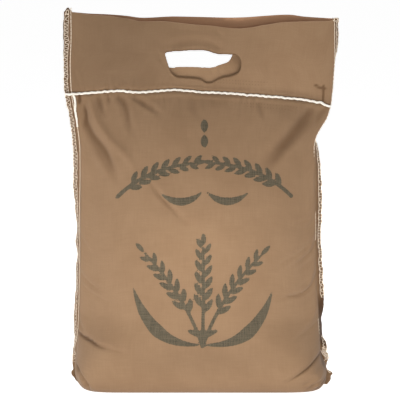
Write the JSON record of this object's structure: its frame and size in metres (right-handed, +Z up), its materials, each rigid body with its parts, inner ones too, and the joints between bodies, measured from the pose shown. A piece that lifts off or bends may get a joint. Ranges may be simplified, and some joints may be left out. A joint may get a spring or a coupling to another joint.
{
  "type": "bag of rice",
  "caption": "Filled brown cloth rice sack standing on its base, sewn shut with thick white twine under a flat header with an oval hand hole, its side seams overlocked outside.",
  "frame": {"origin": "middle of the whole object's bounding box across and in depth, at the height of the flat base", "axes": "+Z up, from the base to the header; -Y out of the printed front face; +X to the right of someone who looks at the front"},
  "size_m": [0.313, 0.1075, 0.438],
  "materials": {
    "sack_cloth": "matte plain weave",
    "white_twine": "matte twisted cotton",
    "seam_thread": "matte sewing thread"
  },
  "bodies": {
    "root": {"sack": "sack_cloth", "closing_twine": "white_twine", "overlock_left": "seam_thread", "overlock_right": "seam_thread", "chain_left": "seam_thread", "chain_right": "seam_thread"}
  },
  "joints": []
}
